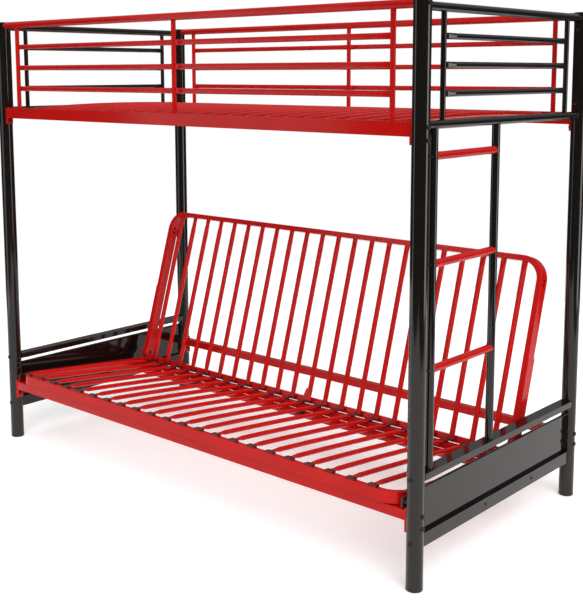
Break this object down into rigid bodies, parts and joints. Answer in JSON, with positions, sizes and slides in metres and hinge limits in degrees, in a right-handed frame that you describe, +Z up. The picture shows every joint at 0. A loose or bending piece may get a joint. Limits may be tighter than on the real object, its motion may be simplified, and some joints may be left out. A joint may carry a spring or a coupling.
{
  "type": "sofa bunk bed",
  "caption": "Steel tube bunk bed with a single bed above and a folding bar-sprung sofa below that slides out and levels into a double bed.",
  "frame": {"origin": "on the floor, in the middle of the four posts", "axes": "+X along the bed towards the ladder end, +Y from the sofa's front to its back, +Z up"},
  "size_m": [2.0072, 0.9722, 1.65],
  "materials": {
    "black_enamel": "gloss powder coat",
    "red_enamel": "gloss powder coat",
    "black_fasteners": "black oxide",
    "black_plastic": "fine texture",
    "dark_red_plastic": "smooth",
    "black_rubber": "matt"
  },
  "bodies": {
    "main_frame": {"arm_rail_left": "black_enamel", "arm_rail_right": "black_enamel", "crosswise_bolts": "black_fasteners", "end_bars": "black_enamel", "end_bottom_rail_left": "black_enamel", "end_bottom_rail_right": "black_enamel", "end_low_rail_left": "black_enamel", "end_low_rail_right": "black_enamel", "end_panel_left": "black_enamel", "end_panel_right": "black_enamel", "end_strips": "black_enamel", "end_top_rail_left": "black_enamel", "end_top_rail_right": "black_enamel", "end_uprights": "black_enamel", "glide_studs": "black_fasteners", "guard_bars_back": "red_enamel", "guard_bars_front": "red_enamel", "guard_top_tube_back": "red_enamel", "guard_top_tube_front": "red_enamel", "guard_uprights_back": "red_enamel", "guard_uprights_front": "red_enamel", "ladder_rung_bottom": "red_enamel", "ladder_rung_middle": "red_enamel", "ladder_rung_top": "red_enamel", "ladder_screws": "black_fasteners", "ladder_stile_back": "black_enamel", "ladder_stile_front": "black_enamel", "lengthwise_bolts": "black_fasteners", "lower_rail_back": "red_enamel", "lower_rail_front": "red_enamel", "panel_screws": "black_fasteners", "post_back_left": "black_enamel", "post_back_right": "black_enamel", "post_caps": "black_plastic", "post_feet": "black_plastic", "post_front_left": "black_enamel", "post_front_right": "black_enamel", "upper_rail_back": "red_enamel", "upper_rail_front": "red_enamel", "upper_slat_clips": "dark_red_plastic", "upper_slats": "red_enamel"},
    "glides": {"glide_shoes": "dark_red_plastic"},
    "seat": {"seat_bar_clips": "dark_red_plastic", "seat_bars": "red_enamel", "seat_buffers": "black_rubber", "seat_cross_member": "red_enamel", "seat_frame_tube": "red_enamel", "seat_hinge_ears": "red_enamel", "seat_rear_tube": "red_enamel"},
    "back": {"backrest_bar_clips": "dark_red_plastic", "backrest_bars": "red_enamel", "backrest_bottom_tube": "red_enamel", "backrest_bracket_left": "red_enamel", "backrest_bracket_right": "red_enamel", "backrest_frame_tube": "red_enamel", "backrest_gusset": "red_enamel", "backrest_rivets": "red_enamel", "hinge_pins": "black_fasteners", "guide_bolts": "black_fasteners", "guide_spacers": "black_plastic"}
  },
  "joints": [
    {"name": "seat_slide", "type": "slide", "parent": "glides", "child": "seat", "axis": [0, -0.9948, 0.1016], "range_m": [0, 0.3893]},
    {"name": "glide_tilt", "type": "hinge", "parent": "main_frame", "child": "glides", "pos_m": [0, -0.4575, 0.25289], "axis": [1, 0, 0], "range_deg": [0, 5.9]},
    {"name": "back_fold", "type": "hinge", "parent": "seat", "child": "back", "pos_m": [0, 0.178, 0.188], "axis": [-1, 0, 0], "range_deg": [0, 79.3]}
  ],
  "couplings": [
    {"joint": "glide_tilt", "follows": "seat_slide", "rad_per_m": 0.26137},
    {"joint": "back_fold", "follows": "seat_slide", "rad_per_m": 3.5476}
  ]
}
